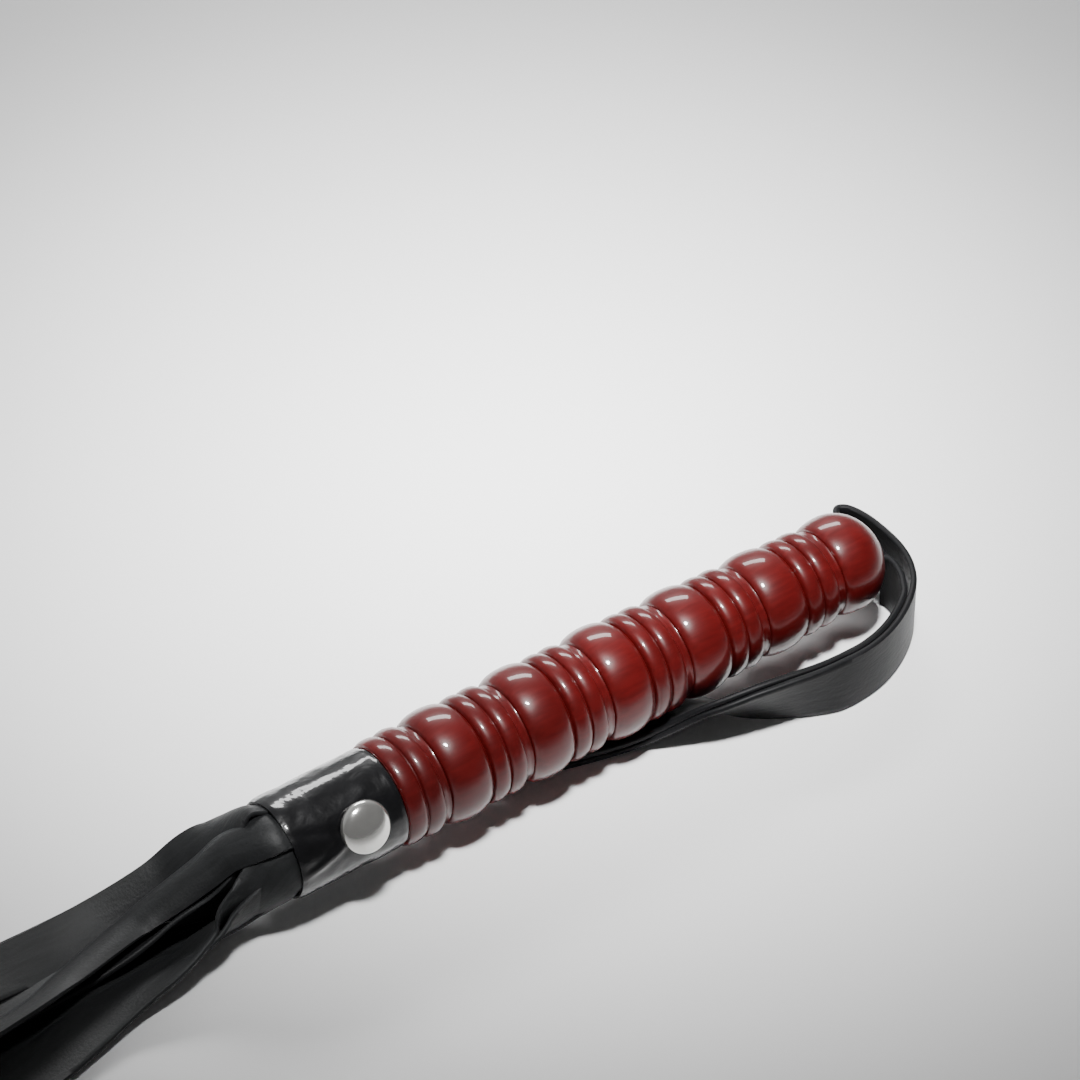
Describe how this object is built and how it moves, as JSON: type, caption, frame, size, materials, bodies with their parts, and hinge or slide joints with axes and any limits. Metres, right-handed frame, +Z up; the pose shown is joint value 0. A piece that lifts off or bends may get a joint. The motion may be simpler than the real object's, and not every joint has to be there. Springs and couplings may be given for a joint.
{
  "type": "short multi-tail riding whip",
  "caption": "Short whip with a turned beaded wooden handle, a studded patent collar, flat leather falls and a folded wrist strap at the butt.",
  "frame": {"origin": "centre of the bounding box, on the ground the part lies on", "axes": "+X along the handle's axis from the falls to the butt, +Z up from the ground, +Y away from the side on which the wrist strap lies"},
  "size_m": [0.4798, 0.0678, 0.0316],
  "materials": {
    "lacquered_wood": "gloss clear lacquer over red stain",
    "bare_wood": "bare",
    "patent_leather": "high gloss patent",
    "fall_leather": "satin, fine grain",
    "strap_leather": "satin outer face, dull inner face",
    "chrome_dome": "polished"
  },
  "bodies": {
    "handle": {"turned_handle": "lacquered_wood", "collar": "patent_leather", "stud_front": "chrome_dome", "stud_back": "chrome_dome", "fall_root_1": "fall_leather", "fall_root_2": "fall_leather", "fall_root_3": "fall_leather", "fall_root_4": "fall_leather", "fall_root_5": "fall_leather", "fall_root_6": "fall_leather", "fall_root_7": "fall_leather", "fall_root_8": "fall_leather", "strap_end_near": "strap_leather", "strap_end_far": "strap_leather", "strap_wedge": "bare_wood"},
    "fall_1": {"fall_1": "fall_leather"},
    "fall_2": {"fall_2": "fall_leather"},
    "fall_3": {"fall_3": "fall_leather"},
    "fall_4": {"fall_4": "fall_leather"},
    "fall_5": {"fall_5": "fall_leather"},
    "fall_6": {"fall_6": "fall_leather"},
    "fall_7": {"fall_7": "fall_leather"},
    "fall_8": {"fall_8": "fall_leather"},
    "wrist_loop": {"wrist_strap": "strap_leather"}
  },
  "joints": [
    {"name": "fall_1_drop", "type": "hinge", "parent": "handle", "child": "fall_1", "pos_m": [0.05979, -0.00001, 0.01103], "axis": [0, -1, 0], "range_deg": [0, 75]},
    {"name": "fall_2_drop", "type": "hinge", "parent": "handle", "child": "fall_2", "pos_m": [0.05979, -0.00001, 0.01103], "axis": [0, -1, 0], "range_deg": [0, 72.38]},
    {"name": "fall_3_drop", "type": "hinge", "parent": "handle", "child": "fall_3", "pos_m": [0.05979, -0.00001, 0.01103], "axis": [0, -1, 0], "range_deg": [0, 69.75]},
    {"name": "fall_4_drop", "type": "hinge", "parent": "handle", "child": "fall_4", "pos_m": [0.05979, -0.00001, 0.01103], "axis": [0, -1, 0], "range_deg": [0, 67.12]},
    {"name": "fall_5_drop", "type": "hinge", "parent": "handle", "child": "fall_5", "pos_m": [0.05979, -0.00001, 0.01103], "axis": [0, -1, 0], "range_deg": [0, 64.5]},
    {"name": "fall_6_drop", "type": "hinge", "parent": "handle", "child": "fall_6", "pos_m": [0.05979, -0.00001, 0.01103], "axis": [0, -1, 0], "range_deg": [0, 61.88]},
    {"name": "fall_7_drop", "type": "hinge", "parent": "handle", "child": "fall_7", "pos_m": [0.05979, -0.00001, 0.01103], "axis": [0, -1, 0], "range_deg": [0, 59.25]},
    {"name": "fall_8_drop", "type": "hinge", "parent": "handle", "child": "fall_8", "pos_m": [0.05979, -0.00001, 0.01103], "axis": [0, -1, 0], "range_deg": [0, 56.62]},
    {"name": "wrist_strap_swing", "type": "hinge", "parent": "handle", "child": "wrist_loop", "pos_m": [0.23209, -0.00001, 0.02202], "axis": [0, -1, 0], "range_deg": [0, 110]}
  ],
  "couplings": [
    {"joint": "fall_2_drop", "follows": "fall_1_drop", "ratio": 0.965},
    {"joint": "fall_3_drop", "follows": "fall_1_drop", "ratio": 0.93},
    {"joint": "fall_4_drop", "follows": "fall_1_drop", "ratio": 0.895},
    {"joint": "fall_5_drop", "follows": "fall_1_drop", "ratio": 0.86},
    {"joint": "fall_6_drop", "follows": "fall_1_drop", "ratio": 0.825},
    {"joint": "fall_7_drop", "follows": "fall_1_drop", "ratio": 0.79},
    {"joint": "fall_8_drop", "follows": "fall_1_drop", "ratio": 0.755}
  ]
}
